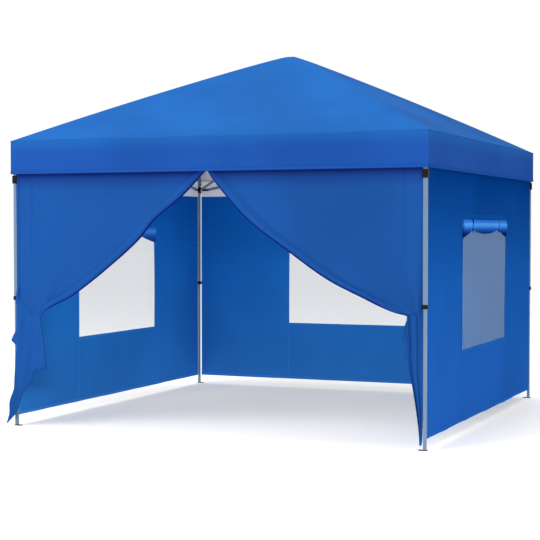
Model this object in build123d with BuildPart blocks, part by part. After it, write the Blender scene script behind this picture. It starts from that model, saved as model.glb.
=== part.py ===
"""Pop up canopy: a 3 m square fabric roof on a folding steel frame with four telescopic legs.

The frame stands open. Its legs are at the four corners, each side between two legs is a chain of
three crossed bar pairs, and four folding arms carry a central hub with the peak pole. Sliders ride
on the outer legs and carry the lower ends of the side bars and of the arms' struts.
Units are millimetres, +Z is up, the origin is on the ground under the peak, the front faces -Y.
"""

import os
from functools import partial
from math import cos, radians, sin, sqrt

from build123d import *

os.makedirs("parts", exist_ok=True)

# Overall sizes
HALF_SPAN = 1475.0  # leg centre from the middle of the canopy, along X and Y
ROOF_HALF = 1500.0
EAVE_Z = 1980.0
PEAK_Z = 2657.0
VALANCE_DROP = 232.0
CLOTH = 1.0  # thickness of the fabric
CLOTH_GAP = 0.2  # slit between two neighbouring cloth panels

# Folding linkage
OPEN_ANGLE = 11.5  # slope of the side bars when the canopy is open
ARM_ANGLE = 8.0  # mean slope of the roof arms, the same in every position
SIDE_PIVOT = 86.0  # leg centre to the side bars' pivot, along the side
ARM_PIVOT = 56.0  # leg centre to the roof arm's pivot, along the diagonal
TOP_PIVOT_Z = 1900.0
CROSSES = 3  # crossed bar pairs along each side

PITCH = 2 * (HALF_SPAN - SIDE_PIVOT) / CROSSES
BAR_LENGTH = PITCH / cos(radians(OPEN_ANGLE))  # pivot to pivot
LOW_PIVOT_Z = TOP_PIVOT_Z - BAR_LENGTH * sin(radians(OPEN_ANGLE))
ARM_LENGTH = CROSSES * BAR_LENGTH / (2 * sqrt(2) * cos(radians(ARM_ANGLE)))
DIAGONAL = HALF_SPAN * sqrt(2)
HUB_PIVOT = SIDE_PIVOT * sqrt(2) - ARM_PIVOT  # canopy axis to the arms' hub pivots
HUB_Z = TOP_PIVOT_Z + 2 * ARM_LENGTH * sin(radians(ARM_ANGLE)) * cos(radians(OPEN_ANGLE))

# Tubes
LEG_WIDTH = 25.0
LEG_WALL = 0.8
LEG_TOP_Z = 1960.0
LEG_BOTTOM_Z = 879.0
INNER_WIDTH = 20.0
INNER_TOP_Z = 1085.0
BAR_DEPTH = 10.0
BAR_HEIGHT = 19.0
BAR_WALL = 0.6
GUSSET = 3.0  # thickness of the plate that carries the strut on a lower arm
LAYER_GAP = 1.0  # between two bars that cross or share a pivot
OUTER_FACE = -2.0  # outer face of the side bars, measured outwards from the leg centres

# Plastic fittings
BLOCK = 38.0
BLOCK_FILLET = 3.0
CLAMP_BLOCK = 32.0
BRACKET_BOTTOM_Z = 1846.0
BRACKET_TOP_Z = 1971.0
SLIDER_HEIGHT = 54.0
SLIDER_CLEARANCE = 0.4
CLAMP_BOTTOM_Z = 876.0
CLAMP_TOP_Z = 902.0
LUG_RADIUS = 9.5
DIAGONAL_LUG_START = 21.5  # from the leg centre, clear of the leg tube's corner
SLIDER_LUG_START = 22.0  # the same, clear of the slider's wider bore
LUG_OVERLAP = 1.0  # how far a side lug runs into its block

# Rivets
PIN_RADIUS = 3.0
HEAD_RADIUS = 6.0
HEAD_THICK = 1.2
HEAD_GAP = 0.4
RUNNING_FIT = 0.05
OPEN_FIT = 0.5  # around the pins of the pivots that close the linkage

# Hub and peak pole
HUB_RADIUS = 34.0
HUB_HEIGHT = 60.0
POLE_RADIUS = 11.0
POLE_WALL = 1.2
POLE_TOP_Z = 2618.0
CAP_RADIUS = 42.0
CAP_THICK = 8.0

# Foot plate, its stake hole, and the height button
FOOT_THICK = 3.0
FOOT_INWARD = 40.0
FOOT_OUTWARD = 16.0
FOOT_WIDTH = 36.0
STAKE_RADIUS = 5.0
STAKE_INWARD = 28.0
BUTTON_RADIUS = 4.0
BUTTON_Z = 889.0
BUTTON_FROM = 13.5  # both from the leg centre, outwards along X
BUTTON_TO = 19.5
BUTTON_FIT = 0.08
BUTTON_FILLET = 1.0

# Side walls and front door halves
WALL_OFFSET = 5.0  # inner face of the walls, outwards from the leg centres
WALL_BOTTOM_Z = 70.0
WALL_TOP_Z = 1790.0
WALL_MARGIN = 20.5  # leg centre to the wall's edge
WINDOW_HALF = 620.0
WINDOW_BOTTOM_Z = 550.0
WINDOW_TOP_Z = 1455.0
# Free edge of a tied-back door half, as distance from the leg centre and height
DOOR_TIE_Z = 740.0
DOOR_TIE_X = 200.0
DOOR_EDGE = ((1463, WALL_TOP_Z), (1090, 1420), (715, 1092), (461, 914), (DOOR_TIE_X, 795))
DOOR_TAIL = ((DOOR_TIE_X, DOOR_TIE_Z - CLOTH_GAP), (190, 470))

CORNERS = {
    "front_left": (-1, -1),
    "front_right": (1, -1),
    "rear_right": (1, 1),
    "rear_left": (-1, 1),
}
NAMES = list(CORNERS)
SIDES = ("front", "right", "rear", "left")  # side i runs from corner i to the next corner

# Layers of the linkage, as lowest and highest offset from their plane
OUTER = (OUTER_FACE - BAR_DEPTH, OUTER_FACE)
INNER = (OUTER[0] - LAYER_GAP - BAR_DEPTH, OUTER[0] - LAYER_GAP)
LOW = (-LAYER_GAP / 2 - BAR_DEPTH, -LAYER_GAP / 2)
HIGH = (LAYER_GAP / 2, LAYER_GAP / 2 + BAR_DEPTH)


def corner(i):
    sx, sy = CORNERS[NAMES[i % 4]]
    return Vector(sx * HALF_SPAN, sy * HALF_SPAN, 0)


def side_plane(i, offset):
    """Upright plane of side i: x runs from corner i to the next, y is height, z points outwards."""
    along = (corner(i + 1) - corner(i)).normalized()
    outwards = along.cross(Vector(0, 0, 1))
    return Plane(origin=corner(i) + outwards * offset, x_dir=along, z_dir=outwards)


def diagonal_plane(i, offset):
    """Upright plane through leg i: x runs from the leg to the canopy's axis, y is height."""
    inwards = (corner(i) * -1).normalized()
    across = inwards.cross(Vector(0, 0, 1))
    return Plane(origin=corner(i) + across * offset, x_dir=inwards, z_dir=across)


def level_plane(i, z):
    return Plane(origin=corner(i) + Vector(0, 0, z))


def along(start, angle, distance):
    """The point at a distance from start in a direction given in degrees above level."""
    return Vector(
        start.X + distance * cos(radians(angle)), start.Y + distance * sin(radians(angle)), 0
    )


def block(i, bottom, top, bore, size=BLOCK):
    """A square plastic block around leg i, with a square bore of the given width."""
    with BuildSketch(level_plane(i, bottom)) as profile:
        Rectangle(size, size)
        fillet(profile.vertices(), BLOCK_FILLET)
        Rectangle(bore, bore, mode=Mode.SUBTRACT)
    extrude(profile.sketch, amount=top - bottom)


def square_tube(i, width, bottom, top):
    with BuildSketch(level_plane(i, bottom)) as profile:
        Rectangle(width, width)
        fillet(profile.vertices(), 2 * LEG_WALL)
        Rectangle(width - 2 * LEG_WALL, width - 2 * LEG_WALL, mode=Mode.SUBTRACT)
    extrude(profile.sketch, amount=top - bottom)


def flat_tube(plane, layer, start, end):
    """A flat tube between two pivots, with round open ends."""
    length = (end - start).length
    angle = Vector(1, 0, 0).get_signed_angle(end - start, Vector(0, 0, 1))
    middle = ((start.X + end.X) / 2, (start.Y + end.Y) / 2)
    with BuildSketch(plane(layer[0])) as profile:
        with Locations(middle):
            SlotCenterToCenter(length, BAR_HEIGHT, rotation=angle)
    extrude(profile.sketch, amount=BAR_DEPTH)
    with BuildSketch(plane(layer[0] + BAR_WALL)) as profile:
        with Locations(middle):
            Rectangle(length + 2 * BAR_HEIGHT, BAR_HEIGHT - 2 * BAR_WALL, rotation=angle)
    extrude(profile.sketch, amount=BAR_DEPTH - 2 * BAR_WALL, mode=Mode.SUBTRACT)


def lug(plane, layer, start, pivot):
    """A flat lug in one layer, from start out to a round end at its pivot."""
    with BuildSketch(plane(layer[0])) as profile:
        with Locations(((start + pivot.X) / 2, pivot.Y)):
            Rectangle(abs(pivot.X - start), 2 * LUG_RADIUS)
        with Locations((pivot.X, pivot.Y)):
            Circle(LUG_RADIUS)
    extrude(profile.sketch, amount=layer[1] - layer[0])


def pins(plane, own, other, *points):
    """Rivets that stand out of their own layer, pass through the other and end in a head."""
    places = [(point.X, point.Y) for point in points]
    if other[0] > own[0]:
        head = other[1] + HEAD_GAP
        low, high = own[0], head
    else:
        head = other[0] - HEAD_GAP - HEAD_THICK
        low, high = head, own[1]
    with BuildSketch(plane(low)) as profile:
        with Locations(*places):
            Circle(PIN_RADIUS)
    extrude(profile.sketch, amount=high - low)
    with BuildSketch(plane(head)) as profile:
        with Locations(*places):
            Circle(HEAD_RADIUS)
    extrude(profile.sketch, amount=HEAD_THICK)


def hole(plane, layer, point, fit=RUNNING_FIT):
    with BuildSketch(plane(layer[0])) as profile:
        with Locations((point.X, point.Y)):
            Circle(PIN_RADIUS + fit)
    extrude(profile.sketch, amount=layer[1] - layer[0], mode=Mode.SUBTRACT)


def panel(plane, offset, *outline):
    """One flat convex cloth panel."""
    with BuildSketch(plane(offset)) as profile:
        with BuildLine():
            Polyline(*outline, close=True)
        make_face()
    extrude(profile.sketch, amount=CLOTH)


def save(builder, label):
    builder.part.label = label
    export_step(builder.part, f"parts/{label}.step")


def side_pivots(z):
    """The row of four pivots along a side, at one height."""
    return [Vector(SIDE_PIVOT + k * PITCH, z, 0) for k in range(CROSSES + 1)]


TOP_PIVOTS = side_pivots(TOP_PIVOT_Z)
LOW_PIVOTS = side_pivots(LOW_PIVOT_Z)
ARM_TOP = Vector(ARM_PIVOT, TOP_PIVOT_Z, 0)
KNEE = along(ARM_TOP, ARM_ANGLE - OPEN_ANGLE, ARM_LENGTH)
ARM_HUB = Vector(DIAGONAL - HUB_PIVOT, HUB_Z, 0)
STRUT_TOP = along(ARM_TOP, -OPEN_ANGLE, BAR_LENGTH / 2)
STRUT_LOW = Vector(ARM_PIVOT, LOW_PIVOT_Z, 0)

# Outer legs: tube, top bracket and bottom clamp, with the height button's hole
for i, name in enumerate(NAMES):
    ahead, behind = partial(side_plane, i), partial(side_plane, i - 1)
    inwards = partial(diagonal_plane, i)
    button_plane = Plane(
        origin=corner(i) + Vector(0, 0, BUTTON_Z), z_dir=(CORNERS[name][0], 0, 0)
    )

    with BuildPart() as leg_bracket:
        block(i, BRACKET_BOTTOM_Z, BRACKET_TOP_Z, LEG_WIDTH)
        with BuildSketch(level_plane(i, LEG_TOP_Z)):
            Rectangle(LEG_WIDTH, LEG_WIDTH)
        extrude(amount=BRACKET_TOP_Z - LEG_TOP_Z)
        lug(ahead, INNER, BLOCK / 2 - LUG_OVERLAP, TOP_PIVOTS[0])
        hole(ahead, INNER, TOP_PIVOTS[0])
        lug(behind, OUTER, 2 * HALF_SPAN - BLOCK / 2 + LUG_OVERLAP, TOP_PIVOTS[-1])
        pins(behind, OUTER, INNER, TOP_PIVOTS[-1])
        lug(inwards, HIGH, DIAGONAL_LUG_START, ARM_TOP)
        hole(inwards, HIGH, ARM_TOP)

    with BuildPart() as leg_tube:
        square_tube(i, LEG_WIDTH, LEG_BOTTOM_Z, LEG_TOP_Z)
        with BuildSketch(button_plane):
            Circle(BUTTON_RADIUS + BUTTON_FIT)
        extrude(amount=BLOCK / 2, mode=Mode.SUBTRACT)

    with BuildPart() as leg_clamp:
        block(i, CLAMP_BOTTOM_Z, CLAMP_TOP_Z, LEG_WIDTH, CLAMP_BLOCK)
        with BuildSketch(button_plane):
            Circle(BUTTON_RADIUS + BUTTON_FIT)
        extrude(amount=BLOCK / 2, mode=Mode.SUBTRACT)

    outer_leg = Compound(children=[leg_bracket.part, leg_tube.part, leg_clamp.part])
    outer_leg.label = f"outer_leg_{name}"
    export_step(outer_leg, f"parts/{outer_leg.label}.step")

# Sliders on the outer legs
for i, name in enumerate(NAMES):
    ahead, behind = partial(side_plane, i), partial(side_plane, i - 1)
    inwards = partial(diagonal_plane, i)
    with BuildPart() as slider:
        block(
            i,
            LOW_PIVOT_Z - SLIDER_HEIGHT / 2,
            LOW_PIVOT_Z + SLIDER_HEIGHT / 2,
            LEG_WIDTH + 2 * SLIDER_CLEARANCE,
        )
        lug(ahead, OUTER, BLOCK / 2 - LUG_OVERLAP, LOW_PIVOTS[0])
        pins(ahead, OUTER, INNER, LOW_PIVOTS[0])
        lug(behind, INNER, 2 * HALF_SPAN - BLOCK / 2 + LUG_OVERLAP, LOW_PIVOTS[-1])
        hole(behind, INNER, LOW_PIVOTS[-1], OPEN_FIT)
        lug(inwards, LOW, SLIDER_LUG_START, STRUT_LOW)
        pins(inwards, LOW, HIGH, STRUT_LOW)
    save(slider, f"slider_{name}")

# Inner legs with their foot plates
for i, name in enumerate(NAMES):
    out_x = CORNERS[name][0]
    with BuildPart() as inner_leg:
        square_tube(i, INNER_WIDTH, FOOT_THICK, INNER_TOP_Z)
        with BuildSketch(level_plane(i, 0)):
            with Locations((out_x * (FOOT_OUTWARD - FOOT_INWARD) / 2, 0)):
                RectangleRounded(FOOT_OUTWARD + FOOT_INWARD, FOOT_WIDTH, BLOCK_FILLET)
            with Locations((-out_x * STAKE_INWARD, 0)):
                Circle(STAKE_RADIUS, mode=Mode.SUBTRACT)
        extrude(amount=FOOT_THICK)
    save(inner_leg, f"inner_leg_{name}")

# Height buttons in the clamps
for i, name in enumerate(NAMES):
    out_x = CORNERS[name][0]
    start = corner(i) + Vector(out_x * BUTTON_FROM, 0, BUTTON_Z)
    with BuildPart() as leg_button:
        with BuildSketch(Plane(origin=start, z_dir=(out_x, 0, 0))):
            Circle(BUTTON_RADIUS)
        extrude(amount=BUTTON_TO - BUTTON_FROM)
        fillet(leg_button.faces().sort_by(Axis.X)[out_x if out_x < 0 else 0].edges(), BUTTON_FILLET)
    save(leg_button, f"leg_button_{name}")

# Side bars: on each side three falling bars in the outer layer and three rising ones inside
for i, side in enumerate(SIDES):
    plane = partial(side_plane, i)
    for k in range(CROSSES):
        top_start, low_end = TOP_PIVOTS[k], LOW_PIVOTS[k + 1]
        low_start, top_end = LOW_PIVOTS[k], TOP_PIVOTS[k + 1]
        middle = (top_start + low_end) / 2

        with BuildPart() as falling_bar:
            flat_tube(plane, OUTER, top_start, low_end)
            pins(plane, OUTER, INNER, top_start, middle, low_end)
        save(falling_bar, f"{side}_falling_bar_{k + 1}")

        with BuildPart() as rising_bar:
            flat_tube(plane, INNER, low_start, top_end)
            hole(plane, INNER, low_start, RUNNING_FIT if k else OPEN_FIT)
            hole(plane, INNER, middle, OPEN_FIT if k == 1 else RUNNING_FIT)
            hole(plane, INNER, top_end, OPEN_FIT if k < CROSSES - 1 else RUNNING_FIT)
        save(rising_bar, f"{side}_rising_bar_{k + 1}")

# Roof arms in two sections, and their struts
for i, name in enumerate(NAMES):
    plane = partial(diagonal_plane, i)

    with BuildPart() as lower_arm:
        flat_tube(plane, LOW, ARM_TOP, KNEE)
        with BuildSketch(plane(LOW[1] - GUSSET)):
            with BuildLine():
                Polyline(
                    along(ARM_TOP, ARM_ANGLE - OPEN_ANGLE, BAR_LENGTH / 2 - 3 * LUG_RADIUS),
                    along(ARM_TOP, ARM_ANGLE - OPEN_ANGLE, BAR_LENGTH / 2 + 3 * LUG_RADIUS),
                    STRUT_TOP + Vector(LUG_RADIUS, 0, 0),
                    STRUT_TOP - Vector(LUG_RADIUS, 0, 0),
                    close=True,
                )
            make_face()
            with Locations((STRUT_TOP.X, STRUT_TOP.Y)):
                Circle(LUG_RADIUS)
        extrude(amount=GUSSET)
        pins(plane, LOW, HIGH, ARM_TOP, KNEE)
        pins(plane, (LOW[1] - GUSSET, LOW[1]), HIGH, STRUT_TOP)
    save(lower_arm, f"lower_arm_{name}")

    with BuildPart() as upper_arm:
        flat_tube(plane, HIGH, KNEE, ARM_HUB)
        hole(plane, HIGH, KNEE)
        hole(plane, HIGH, ARM_HUB)
    save(upper_arm, f"upper_arm_{name}")

    with BuildPart() as arm_strut:
        flat_tube(plane, HIGH, STRUT_LOW, STRUT_TOP)
        hole(plane, HIGH, STRUT_LOW)
        hole(plane, HIGH, STRUT_TOP)
    save(arm_strut, f"arm_strut_{name}")

# Centre hub with the lugs of the four upper arms, bored for the peak pole
with BuildPart() as centre_hub:
    with BuildSketch(Plane.XY.offset(HUB_Z - HUB_HEIGHT / 2)):
        Circle(HUB_RADIUS)
    extrude(amount=HUB_HEIGHT)
    fillet(centre_hub.edges().filter_by(GeomType.CIRCLE), BLOCK_FILLET)
    for i in range(4):
        plane = partial(diagonal_plane, i)
        lug(plane, LOW, DIAGONAL - HUB_RADIUS / 2, ARM_HUB)
        pins(plane, LOW, HIGH, ARM_HUB)
    with BuildSketch(Plane.XY.offset(HUB_Z)):
        Circle(POLE_RADIUS)
    extrude(amount=HUB_HEIGHT / 2, mode=Mode.SUBTRACT)
save(centre_hub, "centre_hub")

# Peak pole with its domed cap
with BuildPart() as peak_pole:
    with BuildSketch(Plane.XY.offset(HUB_Z)):
        Circle(POLE_RADIUS)
        Circle(POLE_RADIUS - POLE_WALL, mode=Mode.SUBTRACT)
    extrude(amount=POLE_TOP_Z - CAP_THICK - HUB_Z)
    with BuildSketch(Plane.XY.offset(POLE_TOP_Z - CAP_THICK)):
        Circle(CAP_RADIUS)
    extrude(amount=CAP_THICK)
    fillet(peak_pole.edges().sort_by(Axis.Z)[-1], CAP_THICK / 2)
save(peak_pole, "peak_pole")

# Roof: four gores with mitred ridges, and a valance panel under each
with BuildPart() as canopy_roof:
    length = 2 * ROOF_HALF
    overhang = ROOF_HALF - HALF_SPAN
    for i in range(4):
        plane = side_plane(i, overhang)
        eave = plane.from_local_coords(Vector(-overhang, EAVE_Z, 0))
        middle = plane.from_local_coords(Vector(HALF_SPAN, EAVE_Z, 0))
        end_plane = Plane(origin=eave, x_dir=plane.z_dir * -1, z_dir=plane.x_dir)
        with BuildSketch(end_plane) as section:
            with BuildLine():
                Polyline(
                    (0, 0),
                    (ROOF_HALF, PEAK_Z - EAVE_Z),
                    (ROOF_HALF, PEAK_Z - EAVE_Z - CLOTH),
                    (0, -CLOTH),
                    close=True,
                )
            make_face()
        gore = extrude(section.sketch, amount=length, mode=Mode.PRIVATE)
        with BuildSketch(Plane(origin=middle, x_dir=plane.x_dir)) as sector:
            with BuildLine():
                Polyline(
                    (-ROOF_HALF + CLOTH_GAP, 0),
                    (ROOF_HALF - CLOTH_GAP, 0),
                    (0, ROOF_HALF - CLOTH_GAP),
                    close=True,
                )
            make_face()
        prism = extrude(sector.sketch, amount=PEAK_Z - EAVE_Z, both=True, mode=Mode.PRIVATE)
        add(gore & prism)
        top = EAVE_Z - CLOTH - CLOTH_GAP
        panel(
            partial(side_plane, i),
            overhang - CLOTH,
            (-overhang + CLOTH + CLOTH_GAP, EAVE_Z - VALANCE_DROP),
            (length - overhang, EAVE_Z - VALANCE_DROP),
            (length - overhang, top),
            (-overhang + CLOTH + CLOTH_GAP, top),
        )
save(canopy_roof, "canopy_roof")


def rectangle(left, right, bottom, top):
    return ((left, bottom), (right, bottom), (right, top), (left, top))


# Walls on the right, rear and left: four panels around a mesh window
for i in (1, 2, 3):
    left, right = WALL_MARGIN, 2 * HALF_SPAN - WALL_MARGIN
    window_left, window_right = HALF_SPAN - WINDOW_HALF, HALF_SPAN + WINDOW_HALF
    plane = partial(side_plane, i)
    low, high = WINDOW_BOTTOM_Z + CLOTH_GAP, WINDOW_TOP_Z - CLOTH_GAP
    with BuildPart() as wall:
        panel(plane, WALL_OFFSET, *rectangle(left, right, WALL_BOTTOM_Z, WINDOW_BOTTOM_Z))
        panel(plane, WALL_OFFSET, *rectangle(left, right, WINDOW_TOP_Z, WALL_TOP_Z))
        panel(plane, WALL_OFFSET, *rectangle(left, window_left, low, high))
        panel(plane, WALL_OFFSET, *rectangle(window_right, right, low, high))
        panel(
            plane,
            WALL_OFFSET,
            *rectangle(window_left + CLOTH_GAP, window_right - CLOTH_GAP, low, high),
        )
    save(wall, f"{SIDES[i]}_wall")

# Front door halves, each tied back to its leg: the swag above the tie and the tail below it
swag = ((WALL_MARGIN, WALL_TOP_Z), *DOOR_EDGE, (DOOR_TIE_X, DOOR_TIE_Z), (WALL_MARGIN, DOOR_TIE_Z))
tail = ((WALL_MARGIN, DOOR_TIE_Z - CLOTH_GAP), *DOOR_TAIL, (WALL_MARGIN, WALL_BOTTOM_Z))
for name in ("left", "right"):
    plane = partial(side_plane, 0)
    with BuildPart() as door:
        for outline in (swag, tail):
            if name == "right":
                outline = [(2 * HALF_SPAN - x, z) for x, z in reversed(outline)]
            panel(plane, WALL_OFFSET, *outline)
    save(door, f"{name}_door")
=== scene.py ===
"""Looks of the pop up canopy: cloth, trims, finishes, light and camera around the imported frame."""

import math

import bpy
import numpy as np
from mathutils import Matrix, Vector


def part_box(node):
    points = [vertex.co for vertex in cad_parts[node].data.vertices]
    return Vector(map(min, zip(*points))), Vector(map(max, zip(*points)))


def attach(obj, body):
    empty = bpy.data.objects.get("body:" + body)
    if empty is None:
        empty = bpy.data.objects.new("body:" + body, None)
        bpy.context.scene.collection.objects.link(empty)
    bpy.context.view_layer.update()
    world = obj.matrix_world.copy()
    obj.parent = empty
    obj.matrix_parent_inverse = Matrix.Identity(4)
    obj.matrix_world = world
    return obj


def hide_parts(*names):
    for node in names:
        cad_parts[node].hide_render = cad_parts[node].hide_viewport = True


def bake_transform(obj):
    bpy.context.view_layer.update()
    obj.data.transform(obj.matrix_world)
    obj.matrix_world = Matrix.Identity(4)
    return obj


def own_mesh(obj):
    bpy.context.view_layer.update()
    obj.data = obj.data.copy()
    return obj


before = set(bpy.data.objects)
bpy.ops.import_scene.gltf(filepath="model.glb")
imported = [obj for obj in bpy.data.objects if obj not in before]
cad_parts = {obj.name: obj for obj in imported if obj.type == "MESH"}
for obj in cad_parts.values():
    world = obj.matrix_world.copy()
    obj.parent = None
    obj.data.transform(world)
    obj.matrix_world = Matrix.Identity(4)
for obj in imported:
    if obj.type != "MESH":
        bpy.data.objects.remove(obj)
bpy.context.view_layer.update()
scene = bpy.context.scene

UP = np.array([0, 0, 1.0])
FRONT = np.array([0, -1.0, 0])
CORNERS = {
    "front_left": (-1, -1),
    "front_right": (1, -1),
    "rear_right": (1, 1),
    "rear_left": (-1, 1),
}

# ---------------------------------------------------------------- sizes, metres
roof_low, roof_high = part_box("canopy_roof")
wall_low, wall_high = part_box("right_wall")
HALF = roof_high.x
PEAK = roof_high.z
EAVE = 1.980
VALANCE_BOTTOM = roof_low.z
LEG_AXIS = 1.475
WALL_PLANE = wall_high.x - 0.0005
WALL_HALF = wall_high.y
WALL_TOP = wall_high.z
WALL_BOTTOM = wall_low.z
WINDOW_HALF = 0.620
WINDOW_LOW = 0.550
WINDOW_HIGH = 1.455
CLOTH = 0.0014
TIE_Z = 0.800
FLAT_COLUMNS = 121  # columns of points across a door, before its rolled edge


# ---------------------------------------------------------------- materials
class Shader:
    """One node material around a Principled shader."""

    def __init__(self, name, **fixed):
        self.material = bpy.data.materials.new(name)
        self.material.use_nodes = True
        self.tree = self.material.node_tree
        self.main = self.tree.nodes["Principled BSDF"]
        for key, value in fixed.items():
            self.main.inputs[key.replace("_", " ")].default_value = value

    def add(self, kind, settings=None, **sockets):
        node = self.tree.nodes.new("ShaderNode" + kind)
        for key, value in (settings or {}).items():
            setattr(node, key, value)
        for key, value in sockets.items():
            socket = node.inputs[int(key[1:])] if key[0] == "i" and key[1:].isdigit() else None
            if socket is None:
                socket = node.inputs[key.replace("_", " ")]
            self.put(value, socket)
        return node

    def put(self, value, socket):
        if isinstance(value, bpy.types.NodeSocket):
            self.tree.links.new(value, socket)
        else:
            socket.default_value = value

    def link(self, output, name):
        self.tree.links.new(output, self.main.inputs[name])

    def math(self, operation, a, b=0.0):
        return self.add("Math", {"operation": operation}, i0=a, i1=b).outputs[0]

    def ramp(self, value, low, high, out_low=0.0, out_high=1.0):
        node = self.add("MapRange", {"interpolation_type": "SMOOTHSTEP"}, Value=value)
        ends = {"From Min": low, "From Max": high, "To Min": out_low, "To Max": out_high}
        for key, number in ends.items():
            node.inputs[key].default_value = number
        return node.outputs["Result"]

    def mix(self, factor, a, b, blend="MIX"):
        node = self.add("Mix", {"data_type": "RGBA", "blend_type": blend})
        for value, slot in ((factor, 0), (a, 6), (b, 7)):
            self.put(value, node.inputs[slot])
        return node.outputs[2]

    def threads(self, coords, scale, directions="XY", **more):
        """Waves along one or both directions of the cloth."""
        found = []
        for direction in directions:
            bands = {"wave_type": "BANDS", "bands_direction": direction}
            wave = self.add("TexWave", bands, Vector=coords.outputs["UV"], Scale=scale, **more)
            found.append(wave.outputs["Fac"])
        return found

    def bump(self, layers):
        """Chained bump nodes from (height, strength, distance) layers."""
        normal = None
        for height, strength, distance in layers:
            node = self.add("Bump", Height=height, Strength=strength, Distance=distance)
            if normal is not None:
                self.tree.links.new(normal, node.inputs["Normal"])
            normal = node.outputs["Normal"]
        self.link(normal, "Normal")


def rgb(red, green, blue):
    """An sRGB colour given from 0 to 255, as linear light."""

    def linear(value):
        value = value / 255
        return value / 12.92 if value <= 0.04045 else ((value + 0.055) / 1.055) ** 2.4

    return (linear(red), linear(green), linear(blue), 1.0)


def painted_glow(material, colour, strength):
    """Painted light: lets a finish give off a little light of its own, brightening it where the lamps
    leave it dim.
    """
    sockets = material.node_tree.nodes["Principled BSDF"].inputs
    sockets["Emission Color"].default_value = colour
    sockets["Emission Strength"].default_value = strength


def paint_height_light(s, place, tone, painted_light):
    """Paints light and shade into a tone by height: the stops are (height, colour factor), mostly darker
    upwards.
    """
    height = s.add("SeparateXYZ", Vector=place).outputs["Z"]
    ramp = s.add("ValToRGB", Fac=s.math("MULTIPLY", height, 0.5))
    elements = ramp.color_ramp.elements
    while len(elements) < len(painted_light):
        elements.new(0.5)
    for element, (level, factor) in zip(elements, painted_light):
        element.position = level * 0.5
        element.color = factor + (1.0,)
    return s.mix(1.0, tone, ramp.outputs["Color"], "MULTIPLY")


def woven(name, colour, painted_light=None, sheen=0.0, rough=0.75, gloss=0.0, front_shade=1.0):
    """Coated polyester cloth: plain weave, soft creases, slow colour drift, and sheen, with optional
    painted shade and highlights by height and a painted shadow towards the front.
    """
    s = Shader(name, Roughness=rough, Sheen_Weight=sheen, Sheen_Roughness=0.45, Specular_IOR_Level=gloss)
    coords = s.add("TexCoord")
    place = coords.outputs["Object"]
    weave = s.math("MULTIPLY", *s.threads(coords, 210.0, Distortion=0.6))
    crease = s.add("TexNoise", Vector=place, Scale=4.5, Detail=3.0, Roughness=0.55)
    fine = s.add("TexNoise", Vector=place, Scale=38.0, Detail=2.0)
    drift = s.add("TexNoise", Vector=place, Scale=1.1, Detail=2.0)
    dark = tuple(c * 0.86 for c in colour[:3]) + (1.0,)
    tone = s.mix(s.ramp(drift.outputs["Fac"], 0.35, 0.65), dark, colour)
    tone = s.mix(s.math("MULTIPLY", weave, 0.10), tone, (1, 1, 1, 1), "SOFT_LIGHT")
    # painted shade and highlights by height
    if painted_light:
        tone = paint_height_light(s, place, tone, painted_light)
    # painted shadow: darkens the cloth towards the front, above its lowest band, where the doors shade
    # the inside walls
    if front_shade != 1.0:
        _, depth, height = s.add("SeparateXYZ", Vector=place).outputs
        shade = s.ramp(depth, -1.45, -0.75, front_shade, 1.0)
        level = s.math("MAXIMUM", shade, s.ramp(height, 0.15, 0.45, 1.0, 0.0))
        grey = s.add("CombineColor", Red=level, Green=level, Blue=level).outputs[0]
        tone = s.mix(1.0, tone, grey, "MULTIPLY")
    s.link(tone, "Base Color")
    s.bump(
        (
            (crease.outputs["Fac"], 0.30, 0.010),
            (fine.outputs["Fac"], 0.12, 0.001),
            (weave, 0.20, 0.0004),
        )
    )
    return s.material


def stitched(name, colour, thread, width=0.022, painted_light=None):
    """A hem, seam or binding: two rows of lockstitch set a little in from the edges."""
    s = Shader(name, Roughness=0.75, Specular_IOR_Level=0.0)
    coords = s.add("TexCoord")
    along, across, _ = s.add("SeparateXYZ", Vector=coords.outputs["UV"]).outputs
    offset = s.math("ABSOLUTE", across)
    row = s.math("COMPARE", offset, width * 0.34)
    row.node.inputs[2].default_value = 0.0007
    dash = s.math("LESS_THAN", s.math("FRACT", s.math("MULTIPLY", along, 230.0)), 0.68)
    stitch = s.math("MULTIPLY", row, dash)
    ridges = s.threads(coords, 210.0, "X")[0]
    pucker = s.add("TexNoise", Vector=coords.outputs["Object"], Scale=30.0, Detail=2.0)
    tone = s.mix(stitch, colour, thread)
    # painted shade and highlights by height, the same as on the cloth the tape is sewn to
    if painted_light:
        tone = paint_height_light(s, coords.outputs["Object"], tone, painted_light)
    s.link(tone, "Base Color")
    s.bump(
        (
            (pucker.outputs["Fac"], 0.35, 0.002),
            (ridges, 0.12, 0.0003),
            (stitch, 0.5, 0.0006),
        )
    )
    return s.material


def netting(name):
    """Fine window mesh: a grey veil with a woven grid in its opacity."""
    s = Shader(name, Roughness=0.8, IOR=1.3)
    coords = s.add("TexCoord")
    grid = s.math("MAXIMUM", *s.threads(coords, 150.0))
    noise = s.add("TexNoise", Vector=coords.outputs["Object"], Scale=2.0, Detail=1.0)
    veil = s.math("ADD", s.math("MULTIPLY", grid, 0.16), s.math("MULTIPLY", noise.outputs["Fac"], 0.04))
    s.link(s.math("ADD", veil, 0.24), "Alpha")
    s.link(s.mix(noise.outputs["Fac"], (0.28, 0.39, 0.46, 1), (0.34, 0.46, 0.54, 1)), "Base Color")
    s.bump(((grid, 0.3, 0.0005),))
    return s.material


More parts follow.
